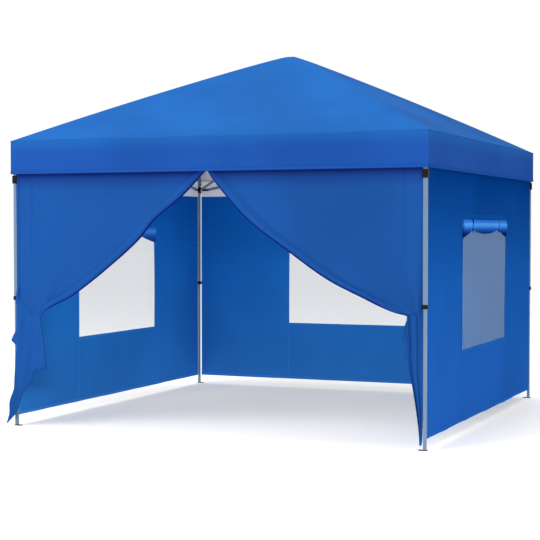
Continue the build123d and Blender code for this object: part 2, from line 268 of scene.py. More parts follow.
def coated_silver(name):
    """The silver heat coating on the inside of the roof cloth."""
    s = Shader(name, Roughness=0.48, Metallic=0.05, IOR=1.5)
    # painted light: the silver coating glows a little, brightening the shaded underside of the roof
    painted_glow(s.material, (1, 0.97, 0.95, 1), 0.06)
    coords = s.add("TexCoord")
    noise = s.add("TexNoise", Vector=coords.outputs["Object"], Scale=5.0, Detail=4.0)
    grain = s.add("TexNoise", Vector=coords.outputs["Object"], Scale=400.0, Detail=1.0)
    s.link(s.mix(noise.outputs["Fac"], rgb(224, 223, 226), rgb(244, 243, 246)), "Base Color")
    s.bump(((noise.outputs["Fac"], 0.4, 0.008), (grain.outputs["Fac"], 0.1, 0.0004)))
    return s.material


HOLE_PITCH = 0.05
HOLE_RADIUS = 0.0032
HOLES_FROM, HOLES_TO = 0.94, 1.24


def coated_steel(name, holes=False):
    """Silver-grey powder coat with faint orange peel, rubs and drawn lines; a leg's row of holes is
    painted shade, dark dots with no holes in the mesh.
    """
    s = Shader(name, IOR=1.5)
    coords = s.add("TexCoord")
    place = coords.outputs["Object"]
    peel = s.add("TexNoise", Vector=place, Scale=900.0, Detail=1.0)
    stretch = s.add("Mapping", Vector=place, Scale=(60.0, 60.0, 2.0))
    drawn = s.add("TexNoise", Vector=stretch.outputs[0], Scale=3.0, Detail=3.0)
    scuff = s.add("TexNoise", Vector=place, Scale=24.0, Detail=5.0, Roughness=0.7)
    mark = s.ramp(scuff.outputs["Fac"], 0.60, 0.72)
    tone = s.mix(drawn.outputs["Fac"], rgb(106, 131, 157), rgb(125, 149, 173))
    tone = s.mix(s.math("MULTIPLY", mark, 0.06), tone, rgb(96, 106, 118))
    metal = s.ramp(drawn.outputs["Fac"], 0.2, 0.8, 0.45, 0.6)
    # painted shade: dark dots on the legs' inward faces stand in for the shadowed insides of the height
    # holes
    if holes:
        x, y, z = s.add("SeparateXYZ", Vector=place).outputs
        cycle = s.math("FRACT", s.math("MULTIPLY", z, 1 / HOLE_PITCH))
        rise = s.math("SUBTRACT", s.math("MULTIPLY", cycle, HOLE_PITCH), HOLE_PITCH / 2)
        inside = []
        for axis in (x, y):
            side = s.math("SUBTRACT", s.math("ABSOLUTE", axis), LEG_AXIS)
            square = s.math("ADD", s.math("POWER", side, 2.0), s.math("POWER", rise, 2.0))
            inside.append(s.math("LESS_THAN", square, HOLE_RADIUS**2))
        nx, ny, _ = s.add("SeparateXYZ", Vector=coords.outputs["Normal"]).outputs
        facing = s.math("ADD", s.math("MULTIPLY", nx, x), s.math("MULTIPLY", ny, y))
        inward = s.math("LESS_THAN", facing, 0.0)
        low = s.math("GREATER_THAN", z, HOLES_FROM)
        high = s.math("LESS_THAN", z, HOLES_TO)
        dot = s.math("MULTIPLY", s.math("MAXIMUM", *inside), s.math("MULTIPLY", low, high))
        dot = s.math("MULTIPLY", dot, inward)
        tone = s.mix(dot, tone, (0.012, 0.012, 0.014, 1))
        metal = s.math("MULTIPLY", metal, s.math("SUBTRACT", 1.0, dot))
    s.link(tone, "Base Color")
    s.link(metal, "Metallic")
    s.link(s.ramp(scuff.outputs["Fac"], 0.3, 0.7, 0.26, 0.42), "Roughness")
    s.bump(((peel.outputs["Fac"], 0.08, 0.0004), (drawn.outputs["Fac"], 0.05, 0.0006)))
    return s.material


def moulded(name, colour, rough=0.45):
    """Injection moulded plastic: fine spark texture and paler rubbed patches."""
    s = Shader(name, IOR=1.47, Specular_IOR_Level=0.15)
    coords = s.add("TexCoord")
    place = coords.outputs["Object"]
    spark = s.add("TexNoise", Vector=place, Scale=1200.0, Detail=2.0)
    rub = s.add("TexNoise", Vector=place, Scale=45.0, Detail=4.0, Roughness=0.65)
    worn = tuple(min(1.0, c * 2.0 + 0.006) for c in colour[:3]) + (1.0,)
    s.link(s.mix(s.ramp(rub.outputs["Fac"], 0.55, 0.75, 0.0, 0.6), colour, worn), "Base Color")
    s.link(s.ramp(rub.outputs["Fac"], 0.3, 0.7, rough, rough + 0.15), "Roughness")
    s.bump(((spark.outputs["Fac"], 0.12, 0.0003),))
    return s.material


ROOF_BLUE = rgb(32, 94, 168)
DOOR_BLUE = rgb(27, 78, 150)
WALL_BLUE = rgb(36, 98, 188)
# painted light: the wall cloth's inside face is a brighter copy of its outside blue, standing in for
# light inside the canopy
WALL_IN_PAINTED_LIGHT_BLUE = rgb(54, 136, 224)
DOOR_IN_BLUE = rgb(22, 70, 142)
ROLL_HIGHLIGHT_BLUE = rgb(84, 160, 250)
NAVY = rgb(5, 14, 44)
THREAD = rgb(24, 74, 156)
LIGHT_THREAD = rgb(70, 130, 205)
# painted shade: how the cloth's colour darkens with height, standing in for the light falling off under
# the roof: (height, factor for red, green and blue)
WALL_PAINTED_SHADE = ((0.10, (1.0, 1.0, 1.0)), (1.0, (0.50, 0.84, 0.84)), (1.75, (0.05, 0.33, 0.45)))
WALL_IN_PAINTED_SHADE = ((0.10, (1.0, 1.0, 1.0)), (0.9, (0.50, 0.92, 0.98)), (1.70, (0.08, 0.56, 0.78)))
# painted shadow: the valance's shadow darkening the top of the doors
DOOR_PAINTED_SHADOW = (
    (0.10, (1.0, 1.0, 1.0)),
    (1.63, (1.0, 1.0, 1.0)),
    (1.70, (0.85, 0.66, 0.80)),
    (1.742, (0.50, 0.26, 0.52)),
)
# painted highlight and shade of the rolled flap: dark underneath, a bright band near its top and a
# darker line under the header tape; its base blue is the highlight colour
ROLL_PAINTED_LIGHT = (
    (1.334, (0.01, 0.04, 0.12)),
    (1.350, (0.05, 0.14, 0.30)),
    (1.370, (0.16, 0.34, 0.56)),
    (1.396, (0.95, 1.0, 1.0)),
    (1.410, (0.70, 0.85, 0.95)),
    (1.420, (0.22, 0.42, 0.62)),
    (1.430, (0.45, 0.70, 0.85)),
)
INSIDE_ROLL_DROP = 0.050  # the inside rolls hang this much lower than the outside one
# painted shade on the valance, lightening to full colour at the eave fold
VALANCE_PAINTED_LIGHT = ((1.75, (0.90, 0.67, 0.88)), (1.90, (0.90, 0.70, 0.89)), (1.978, (1.0, 1.0, 1.0)))

m_roof = woven("roof_cloth", ROOF_BLUE, gloss=0.015)
m_valance = woven("valance_cloth", ROOF_BLUE, painted_light=VALANCE_PAINTED_LIGHT, gloss=0.01)
m_silver = coated_silver("silver_coating")
m_door = woven("door_cloth", DOOR_BLUE, painted_light=DOOR_PAINTED_SHADOW, gloss=0.02)
m_door_in = woven("door_cloth_inside", DOOR_IN_BLUE, sheen=0.004, gloss=0.06)
m_wall = woven("wall_cloth", WALL_BLUE, painted_light=WALL_PAINTED_SHADE)
m_wall_in = woven("wall_cloth_inside", WALL_IN_PAINTED_LIGHT_BLUE, painted_light=WALL_IN_PAINTED_SHADE, front_shade=0.62)
m_roll = woven("rolled_cloth", ROLL_HIGHLIGHT_BLUE, painted_light=ROLL_PAINTED_LIGHT, rough=0.36)
# the inside rolls' painted highlight and shade, lowered with them
inside_roll_painted_light = tuple((level - INSIDE_ROLL_DROP, factor) for level, factor in ROLL_PAINTED_LIGHT)
m_roll_in = woven("rolled_cloth_inside", ROLL_HIGHLIGHT_BLUE, painted_light=inside_roll_painted_light, rough=0.36)
# painted light: the inside rolls glow a little, brightening them in the shade inside the canopy
painted_glow(m_roll_in, rgb(50, 130, 235), 0.14)
# painted shade: a darker blue for the underside of the doors' rolled free edges
m_door_roll_painted_shade = woven("door_edge_shade", rgb(16, 40, 118))
m_hem = stitched("hem_tape", rgb(30, 100, 192), LIGHT_THREAD, painted_light=WALL_PAINTED_SHADE)
# painted light: the inside hem tape is brightened like the inside wall cloth
m_hem_in = stitched("hem_tape_inside", rgb(60, 140, 228), LIGHT_THREAD, painted_light=WALL_IN_PAINTED_SHADE)
m_door_hem = stitched("door_tape", DOOR_BLUE, THREAD, painted_light=DOOR_PAINTED_SHADOW)
m_roof_hem = stitched("valance_tape", ROOF_BLUE, THREAD, painted_light=VALANCE_PAINTED_LIGHT)
m_strap = stitched("strap_web", NAVY, rgb(40, 80, 150), width=0.018)
m_silver_hem = stitched("loop_tape", rgb(214, 216, 220), rgb(170, 172, 176), width=0.03)
# painted light: the silver loop tape glows a little
painted_glow(m_silver_hem, (1, 1, 1, 1), 0.16)
m_net = netting("window_net")
m_leg = coated_steel("leg_coat", holes=True)
m_steel = coated_steel("bar_coat")
m_black = moulded("black_moulding", (0.005, 0.005, 0.006, 1))
m_foot = moulded("foot_coat", (0.014, 0.015, 0.018, 1), rough=0.5)
m_button = moulded("button_moulding", (0.010, 0.010, 0.011, 1), rough=0.35)


# ---------------------------------------------------------------- mesh building
class Cloth:
    """Collects vertices, faces, finishes and lengths along the cloth, then makes one object."""

    def __init__(self):
        self.points = []
        self.faces = []
        self.finish = []
        self.lengths = []
        self.normals = []
        self.count = 0

    def add(self, points, faces, finish, lengths, normals):
        self.points.append(np.asarray(points, float))
        self.faces += [tuple(int(i) + self.count for i in face) for face in faces]
        self.finish += list(finish) if hasattr(finish, "__len__") else [finish] * len(faces)
        self.lengths.append(np.asarray(lengths, float))
        self.normals.append(np.asarray(normals, float))
        self.count += len(points)

    def shell(self, grid, lengths, normals, faces, outer, inner, thick=CLOTH):
        """A closed thin sheet: the outer points, a second layer under them, and a rim."""
        points = np.asarray(grid, float).reshape(-1, 3)
        normals = np.asarray(normals, float).reshape(-1, 3)
        lengths = np.asarray(lengths, float).reshape(-1, 2)
        n = len(points)
        edges = {}
        for face in faces:
            for a, b in zip(face, face[1:] + face[:1]):
                edges[(a, b)] = True
        rim = [(b, a, a + n, b + n) for a, b in edges if (b, a) not in edges]
        back = [tuple(i + n for i in reversed(face)) for face in faces]
        every = list(faces) + back + rim
        front = list(outer) if hasattr(outer, "__len__") else [outer] * len(faces)
        finish = front + [inner] * len(back) + [front[0]] * len(rim)
        points = np.vstack([points, points - normals * thick])
        self.add(points, every, finish, np.vstack([lengths, lengths]), np.vstack([normals, -normals]))

    def ribbon(self, line, across, normal, width, thick, finish=0, back=None):
        """A flat tape with rounded edges that follows a line; across and normal are unit vectors."""
        line = np.asarray(line, float)
        across = np.broadcast_to(np.asarray(across, float), line.shape)
        normal = np.broadcast_to(np.asarray(normal, float), line.shape)
        w, t = width / 2, thick / 2
        section = [(-w, -t * 0.4), (-w, t * 0.4), (-w * 0.9, t), (w * 0.9, t)]
        section += [(w, t * 0.4), (w, -t * 0.4), (w * 0.9, -t), (-w * 0.9, -t)]
        k, n = len(section), len(line)
        run = np.concatenate([[0], np.cumsum(np.linalg.norm(np.diff(line, axis=0), axis=1))])
        points, lengths, normals = [], [], []
        for a, b in section:
            points.append(line + across * a + normal * b)
            lengths.append(np.stack([run, np.full(n, a)], 1))
            normals.append(normal * np.sign(b))
        points = np.stack(points, 1).reshape(-1, 3)
        back = finish if back is None else back
        faces, picks = [], []
        for i in range(n - 1):
            for j in range(k):
                jj = (j + 1) % k
                faces.append((i * k + j, i * k + jj, (i + 1) * k + jj, (i + 1) * k + j))
                picks.append(back if j > 4 else finish)
        faces.append(tuple(reversed(range(k))))
        faces.append(tuple((n - 1) * k + j for j in range(k)))
        picks += [finish, finish]
        if np.dot(np.cross(line[1] - line[0], across[0]), normal[0]) > 0:
            faces = [tuple(reversed(face)) for face in faces]
        lengths, normals = np.stack(lengths, 1), np.stack(normals, 1)
        self.add(points, faces, picks, lengths.reshape(-1, 2), normals.reshape(-1, 3))

    def make(self, name, materials, custom=True):
        mesh = bpy.data.meshes.new(name)
        points = np.vstack(self.points)
        mesh.from_pydata(points.tolist(), [], self.faces)
        for material in materials:
            mesh.materials.append(material)
        mesh.polygons.foreach_set("material_index", np.array(self.finish, np.int32))
        layer = mesh.uv_layers.new(name="length")
        index = np.zeros(len(mesh.loops), np.int32)
        mesh.loops.foreach_get("vertex_index", index)
        lengths = np.vstack(self.lengths)
        layer.data.foreach_set("uv", lengths[index].astype(np.float32).ravel())
        mesh.polygons.foreach_set("use_smooth", np.ones(len(mesh.polygons), bool))
        mesh.update()
        if custom:
            normals = np.vstack(self.normals)
            normals /= np.maximum(np.linalg.norm(normals, axis=1, keepdims=True), 1e-9)
            mesh.normals_split_custom_set_from_vertices(normals.tolist())
        mesh.validate()
        obj = bpy.data.objects.new(name, mesh)
        scene.collection.objects.link(obj)
        return obj


def cells(rows, columns, skip=None, flip=False):
    """Quads of a rows by columns grid of points."""
    out = []
    for i in range(rows - 1):
        for j in range(columns - 1):
            if skip is not None and skip[i, j]:
                continue
            a, b = i * columns + j, i * columns + j + 1
            c, d = (i + 1) * columns + j + 1, (i + 1) * columns + j
            out.append((a, d, c, b) if flip else (a, b, c, d))
    return out


def grid_normals(grid, flip=False):
    down = np.gradient(grid, axis=0)
    across = np.gradient(grid, axis=1)
    normal = np.cross(across, down)
    normal /= np.maximum(np.linalg.norm(normal, axis=2, keepdims=True), 1e-9)
    return -normal if flip else normal


# ---------------------------------------------------------------- roof
PEAK_ROUND = 0.05


def roof_height(x, y):
    """Height of the outer face of the roof over a point."""
    a, b = np.abs(x), np.abs(y)
    m = 0.5 * (a + b + np.sqrt((a - b) ** 2 + 0.012**2)) - 0.006 * np.exp(-(((a + b) / 0.1) ** 2))
    m = np.clip(m, 0, None)
    s = np.clip(m / HALF, 0, 1)
    q = np.clip(np.minimum(a, b) / np.maximum(m, 1e-6), 0, 1)
    fall = (np.sqrt(m**2 + PEAK_ROUND**2) - PEAK_ROUND) / (
        math.sqrt(HALF**2 + PEAK_ROUND**2) - PEAK_ROUND
    )
    z = PEAK - (PEAK - EAVE) * fall
    z = z + 0.016 * 4 * s * (1 - s) * q**4
    z = z - 0.010 * 4 * s * (1 - s) * (1 - q**2)
    ang = np.arctan2(y, x)
    z = z + 0.0012 * np.sin(14 * ang + 2.0 * np.sin(3 * ang)) * s * (1 - s) * 4
    return z


def roof_point(x, y):
    return np.stack([x, y, roof_height(x, y)], -1)


def roof_normal(x, y):
    e = 0.003
    dx = (roof_height(x + e, y) - roof_height(x - e, y)) / (2 * e)
    dy = (roof_height(x, y + e) - roof_height(x, y - e)) / (2 * e)
    n = np.stack([-dx, -dy, np.ones_like(dx)], -1)
    return n / np.linalg.norm(n, axis=-1, keepdims=True)


RC = HALF * math.sqrt(2)
R_MID = RC / 2
BAND = 0.381
band_t = np.array([0, 0.012, 0.03, 0.06, 0.11, 0.18, 0.28, 0.40, 0.55, 0.70, 0.85, 1.0])
band_t = np.concatenate([-band_t[:0:-1], band_t])
gore_t = np.linspace(0, 1, 17)
hub_r = np.array([0.0, 0.012, 0.025, 0.04, 0.06, 0.085, 0.115, 0.15, 0.19, 0.235, 0.285, 0.335])
outer_r = np.linspace(BAND, R_MID, 17)
corner_r = RC - (RC - R_MID) * np.linspace(1, 0, 25)


def diagonal(sx, sy, r, l):
    """The point a distance r along a ridge and l beside it."""
    return sx * (r + l) / math.sqrt(2), sy * (r - l) / math.sqrt(2)


def roof_piece(name, sx, sy, r, l):
    """A roof panel from grids of distance along and beside one ridge."""
    x, y = diagonal(sx, sy, r, l)
    faces = cells(*r.shape, flip=sx * sy < 0)
    cloth = Cloth()
    cloth.shell(roof_point(x, y), np.stack([x, y], -1), roof_normal(x, y), faces, 0, 1)
    obj = cloth.make(name, [m_roof, m_silver])
    return obj


for corner, (sx, sy) in CORNERS.items():
    r = np.concatenate([hub_r, outer_r])
    r = r[:, None] * np.ones_like(band_t)[None, :]
    l = band_t[None, :] * np.minimum(r, BAND)
    band = roof_piece(f"roof_ridge_{corner}", sx, sy, r, l)
    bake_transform(band)
    for side in (-1, 1):
        r2 = outer_r[:, None] * np.ones_like(gore_t)[None, :]
        l2 = side * (BAND + gore_t[None, :] * (r2 - BAND))
        if side < 0:
            r2, l2 = r2[:, ::-1], l2[:, ::-1]
        gore = roof_piece(f"roof_gore_{corner}_{'a' if side > 0 else 'b'}", sx, sy, r2, l2)
        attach(gore, f"upper_arm_{corner}")
        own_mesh(gore)
    beside = BAND + gore_t * (R_MID - BAND)
    edge = np.concatenate([-beside[::-1], band_t[1:-1] * BAND, beside])
    r3 = corner_r[:, None] * np.ones_like(edge)[None, :]
    l3 = edge[None, :] * (RC - r3) / (RC - R_MID)
    point = roof_piece(f"roof_corner_{corner}", sx, sy, r3, l3)
    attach(point, f"lower_arm_{corner}")
    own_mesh(point)
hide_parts("canopy_roof")

# valance: from each corner to the middle of each side, with a doubled hem
eave_along = (2 * corner_r - RC) / math.sqrt(2)


def valance_wave(along, down):
    """Small outward ripples that grow towards the hem and die at corners and mid-side."""
    hold = np.sin(np.clip(np.abs(along) / HALF, 0, 1) * math.pi) ** 0.5
    return 0.0022 * hold * (0.25 + down) * np.sin(2 * math.pi * along / 0.43 + 1.3 * np.sin(along * 3))


for corner, (sx, sy) in CORNERS.items():
    for axis in ("x", "y"):
        drops = np.concatenate([[0.0, 0.004, 0.012], np.linspace(0.03, 1.0, 14)])
        along = eave_along[None, :] * np.ones_like(drops)[:, None]
        top = roof_height(np.full_like(eave_along, HALF), eave_along)
        down = drops[:, None] * np.ones_like(eave_along)[None, :]
        z = top[None, :] + (VALANCE_BOTTOM - top[None, :]) * down
        out = HALF + valance_wave(along, down) * np.minimum(1, down * 8)
        if axis == "x":
            grid, outward = np.stack([sx * out, sy * along, z], -1), np.array([sx, 0, 0.0])
        else:
            grid, outward = np.stack([sx * along, sy * out, z], -1), np.array([0, sy, 0.0])
        flip = np.dot(grid_normals(grid)[8, 8], outward) < 0
        normals = grid_normals(grid, flip)
        cloth = Cloth()
        faces = cells(*along.shape, flip=flip)
        cloth.shell(grid, np.stack([along, z], -1), normals, faces, 0, 1)
        cloth.ribbon(grid[-1] + UP * 0.010, UP, outward, 0.020, 0.0042, 2)
        cloth.ribbon(grid[2] + outward * 0.0002, UP, outward, 0.010, 0.0016, 2)
        strip = cloth.make(f"valance_{corner}_{axis}", [m_valance, m_silver, m_roof_hem])
        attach(strip, f"leg_{corner}")
        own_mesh(strip)

# ---------------------------------------------------------------- side and rear walls
WALLS = {
    # side: (body it hangs from, unit along, unit outward, roll is on the outside)
    "right": ("leg_front_right", (0, 1, 0), (1, 0, 0), True),
    "rear": ("leg_rear_right", (-1, 0, 0), (0, 1, 0), False),
    "left": ("leg_rear_left", (0, -1, 0), (-1, 0, 0), False),
}
HEM_WIDTH = 0.024


def wall_wave(s, z, seed):
    """Hanging ripples of a wall, along s from its first leg, at height z."""
    low = np.clip((WALL_TOP - z) / (WALL_TOP - WALL_BOTTOM), 0, 1)
    edge = np.clip(1 - (np.abs(s) / WALL_HALF) ** 6, 0, 1)
    wave = 0.0030 * np.sin(2 * math.pi * s / 0.61 + seed + 0.7 * np.sin(2.2 * s + seed))
    wave = wave + 0.0016 * np.sin(2 * math.pi * s / 0.27 + 2 * seed)
    pull = 0.0020 * np.sin(3.1 * (s + z) + seed) + 0.0015 * np.sin(4.3 * (s - 1.3 * z))
    return edge * (wave * (0.25 + 0.75 * low) + pull)


def fold_into(obj):
    """Gives the piece its own copy of its mesh."""
    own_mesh(obj)


def tie_radius(s, ties, reach):
    return sum(np.exp(-(((s - t) / reach) ** 2)) for t in ties)


def curtain_roll(side, at, along, outward, outside):
    """The window's flap, rolled up over the net and held by two straps."""
    sign = 1 if outside else -1
    s = np.linspace(-WINDOW_HALF - 0.008, WINDOW_HALF - 0.004, 161)
    ties = (-0.370, 0.390)
    centre_s, half_s = 0.010, 0.380
    beside = np.abs(s - centre_s)
    drop = np.where(
        beside < half_s,
        0.069 + 0.028 * np.cos(np.clip(beside / half_s, 0, 1) * math.pi / 2),
        0.069 + 0.056 * np.clip((beside - half_s) / (WINDOW_HALF - half_s), 0, 1) ** 0.8,
    )
    pinch = tie_radius(s, ties, 0.014)
    top = WINDOW_HIGH - 0.023 - (0.0 if outside else INSIDE_ROLL_DROP)
    k = 26
    angle = np.linspace(0, 2 * math.pi, k, endpoint=False)
    rows = []
    for i, value in enumerate(s):
        half = drop[i] / 2 * (1 - 0.10 * pinch[i])
        deep = (0.0095 + 0.04 * (drop[i] - 0.069)) * (1 - 0.40 * pinch[i])
        z = top - half + half * np.cos(angle)
        full = np.sin(angle) * (1 + 0.25 * np.cos(angle))
        pleat = 0.0013 * np.sin(angle * 3 + value * 38) * (0.3 + pinch[i])
        pleat = pleat + 0.0010 * np.sin(value * 120 + angle) * min(1.0, 2 * pinch[i] + 0.2)
        off = 0.0035 + np.abs(deep * np.clip(full, 0, None)) - 0.004 * np.clip(-full, 0, 1) + pleat
        centre = np.outer(np.ones(k), np.array(at) + np.array(along) * value)
        rows.append(centre + np.outer(sign * off, outward) + np.outer(z, UP))
    tube = np.stack(rows, 0)
    cloth = Cloth()
    n = len(s)
    faces = []
    for i in range(n - 1):
        for j in range(k):
            jj = (j + 1) % k
            faces.append((i * k + j, (i + 1) * k + j, (i + 1) * k + jj, i * k + jj))
    faces.append(tuple(reversed(range(k))))
    faces.append(tuple((n - 1) * k + j for j in range(k)))
    lengths = np.stack([np.repeat(s, k), np.tile(angle * 0.02, n)], -1)
    cloth.add(tube.reshape(-1, 3), faces, 0, lengths, np.zeros((n * k, 3)))
    obj = cloth.make(f"{side}_window_roll", [m_roll if outside else m_roll_in], custom=False)
    straps = Cloth()
    for t in ties:
        i = int(np.argmin(np.abs(s - t)))
        loop = tube[i] + (tube[i] - tube[i].mean(0)) * 0.06
        loop = np.vstack([loop, loop[:1]])
        radial = loop - tube[i].mean(0)
        radial /= np.linalg.norm(radial, axis=1, keepdims=True)
        straps.ribbon(loop, along, radial, 0.026, 0.0022)
        tail = np.array([tube[i, 13] - UP * 0.012 * m for m in range(3)])
        straps.ribbon(tail, along, np.array(outward) * sign, 0.016, 0.0022)
    return obj, straps.make(f"{side}_window_straps", [m_strap])


def wall(side):
    body, along, outward, outside = WALLS[side]
    along, outward = np.array(along, float), np.array(outward, float)
    at = outward * WALL_PLANE
    seed = {"right": 0.4, "rear": 2.1, "left": 4.0}[side]
    s_line = list(np.linspace(-WALL_HALF, WALL_HALF, 97)) + [-WINDOW_HALF, WINDOW_HALF]
    z_line = list(np.linspace(WALL_BOTTOM, WALL_TOP, 49)) + [WINDOW_LOW, WINDOW_HIGH]
    s_line, z_line = np.unique(np.round(s_line, 5)), np.unique(np.round(z_line, 5))
    s, z = np.meshgrid(s_line, z_line)

    def place(s, z, extra=0.0):
        off = wall_wave(s, z, seed) + extra
        return at + s[..., None] * along + off[..., None] * outward + z[..., None] * UP

    grid = place(s, z)
    flip = np.dot(grid_normals(grid)[5, 5], outward) < 0
    normals = grid_normals(grid, flip)
    mid_s = (s[:-1, :-1] + s[1:, 1:]) / 2
    mid_z = (z[:-1, :-1] + z[1:, 1:]) / 2
    hole = (np.abs(mid_s) < WINDOW_HALF) & (mid_z > WINDOW_LOW) & (mid_z < WINDOW_HIGH)
    cloth = Cloth()
    cloth.shell(grid, np.stack([s, z], -1), normals, cells(*s.shape, skip=hole, flip=flip), 0, 1)
    panel = cloth.make(f"{side}_wall_cloth", [m_wall, m_wall_in])
    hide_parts(f"{side}_wall")

    # hems, window binding, seams and the loop tape along the top
    trim = Cloth()

    def tape(s0, z0, s1, z1, across, width, thick):
        t = np.linspace(0, 1, 60)
        line = place(s0 + (s1 - s0) * t, z0 + (z1 - z0) * t, -CLOTH / 2)
        trim.ribbon(line, across, outward, width, thick, back=2)

    hem = HEM_WIDTH / 2
    tape(-WALL_HALF, WALL_BOTTOM + hem, WALL_HALF, WALL_BOTTOM + hem, UP, HEM_WIDTH, 0.0048)
    for end in (-1, 1):
        edge = end * (WALL_HALF - 0.011)
        tape(edge, WALL_BOTTOM, edge, WALL_TOP, along, 0.022, 0.0044)
        tape(end * WINDOW_HALF, WALL_BOTTOM, end * WINDOW_HALF, WINDOW_LOW, along, 0.014, 0.0040)
        tape(end * WINDOW_HALF, WINDOW_HIGH, end * WINDOW_HALF, WALL_TOP, along, 0.014, 0.0040)
        bind = end * (WINDOW_HALF + 0.004)
        tape(bind, WINDOW_LOW - 0.012, bind, WINDOW_HIGH + 0.012, along, 0.020, 0.0056)
    for level in (WINDOW_LOW - 0.004, WINDOW_HIGH + 0.004):
        tape(-WINDOW_HALF - 0.012, level, WINDOW_HALF + 0.012, level, UP, 0.020, 0.0056)
    fall = 0.030 if outside else 0.030 + INSIDE_ROLL_DROP
    level = WINDOW_HIGH + 0.005 - fall / 2
    tape(-WINDOW_HALF - 0.012, level, WINDOW_HALF + 0.012, level, UP, fall, 0.0040)
    tape(-WALL_HALF, WALL_TOP - hem, WALL_HALF, WALL_TOP - hem, UP, 0.026, 0.0048)
    silver = place(np.linspace(-WALL_HALF, WALL_HALF, 60), np.full(60, WALL_TOP - 0.070), -0.0034)
    trim.ribbon(silver, UP, outward, 0.135, 0.0016, 1)
    tapes = trim.make(f"{side}_wall_hems", [m_hem, m_silver_hem, m_hem_in])

    s2, z2 = np.meshgrid(
        np.linspace(-WINDOW_HALF - 0.008, WINDOW_HALF + 0.008, 49),
        np.linspace(WINDOW_LOW - 0.008, WINDOW_HIGH + 0.008, 33),
    )
    net_grid = place(s2, z2, -0.0012) - outward * 0.0006 * np.sin(9 * s2 + 5 * z2)[..., None]
    flip2 = np.dot(grid_normals(net_grid)[5, 5], outward) < 0
    net = Cloth()
    net.add(
        net_grid.reshape(-1, 3),
        cells(*s2.shape, flip=flip2),
        0,
        np.stack([s2, z2], -1).reshape(-1, 2),
        grid_normals(net_grid, flip2).reshape(-1, 3),
    )
    screen = net.make(f"{side}_window_mesh", [m_net])
    roll, straps = curtain_roll(side, at, along, outward, outside)
    for piece in (panel, tapes, screen, roll, straps):
        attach(piece, body)
        fold_into(piece)


for side in WALLS:
    wall(side)

# ---------------------------------------------------------------- front doors
def smooth_line(points, z):
    """A line through (x, z) points, read at heights z: monotone cubic."""
    points = sorted(points, key=lambda p: p[1])
    zs = np.array([p[1] for p in points], float)
    xs = np.array([p[0] for p in points], float)
    h = np.diff(zs)
    d = np.diff(xs) / h
    slope = np.zeros_like(xs)
    slope[0], slope[-1] = d[0], d[-1]
    for i in range(1, len(xs) - 1):
        if d[i - 1] * d[i] > 0:
            w1, w2 = 2 * h[i] + h[i - 1], h[i] + 2 * h[i - 1]
            slope[i] = (w1 + w2) / (w1 / d[i - 1] + w2 / d[i])
    z = np.clip(z, zs[0], zs[-1])
    k = np.clip(np.searchsorted(zs, z) - 1, 0, len(h) - 1)
    t = (z - zs[k]) / h[k]
    a, b = xs[k], xs[k + 1]
    ma, mb = slope[k] * h[k], slope[k + 1] * h[k]
    return (
        (2 * t**3 - 3 * t**2 + 1) * a
        + (t**3 - 2 * t**2 + t) * ma
        + (-2 * t**3 + 3 * t**2) * b
        + (t**3 - t**2) * mb
    )


def step(value, low, high):
    t = np.clip((value - low) / (high - low), 0, 1)
    return t * t * (3 - 2 * t)


LEFT_TIE = (-1.285, 0.768)
LEFT_FREE = [
    (0.030, 1.790), (-0.011, 1.752), (-0.187, 1.584), (-0.385, 1.432), (-0.502, 1.302),
    (-0.758, 1.095), (-1.014, 0.916), (-1.262, 0.770), (-1.252, 0.680), (-1.222, 0.459),
    (-1.212, 0.408), (-1.305, 0.392), (-1.330, 0.330), (-1.398, 0.230), (-1.448, 0.100),
    (-1.520, 0.018),
]
LEFT_POLE = [
    (-1.463, 1.790), (-1.463, 0.672), (-1.492, 0.632), (-1.509, 0.592), (-1.484, 0.572),
    (-1.464, 0.556), (-1.464, 0.460), (-1.468, 0.280), (-1.508, 0.150), (-1.506, 0.100),
    (-1.530, 0.018),
]
RIGHT_TIE = (1.405, 0.822)
RIGHT_FREE = [
    (-0.020, 1.790), (0.000, 1.748), (0.128, 1.587), (0.293, 1.420), (0.580, 1.218),
    (0.859, 1.036), (1.062, 0.942), (1.290, 0.848), (1.366, 0.830), (1.364, 0.790),
    (1.368, 0.700), (1.374, 0.560), (1.380, 0.478), (1.400, 0.386), (1.437, 0.126),
    (1.443, 0.030),
]
RIGHT_POLE = [
    (1.462, 1.790), (1.462, 0.900), (1.465, 0.850), (1.465, 0.300), (1.461, 0.070),
    (1.455, 0.030),
]
ROLL_TURN = math.radians(250)  # how far the free edge of a door is rolled round
ROLL_RADIUS = {"left": 0.022, "right": 0.020}


def swag_cut(free, pole, radius):
    """Flat area of a door cut as the swag it hangs in, with what its free edge rolls up."""
    z = np.linspace(free[-1][1], free[0][1], 600)
    across = np.abs(smooth_line(free, z) - smooth_line(pole, z))
    high = [p for p in free if p[1] > TIE_Z]
    edge = sum(math.dist(a, b) for a, b in zip(high, high[1:]))
    return float(across.mean() * (z[-1] - z[0])) + edge * radius * ROLL_TURN


def outward_only(depth):
    """Folds stand out of the wall plane and hardly reach behind it."""
    return 0.5 * (depth + np.sqrt(depth**2 + 0.004**2))


def swell_between(share, z, low):
    """One soft bulge across a door's width and between a height and the door's top."""
    return np.sin(math.pi * np.clip(share, 0, 1)) * np.sin(math.pi * step(z, low, WALL_TOP))


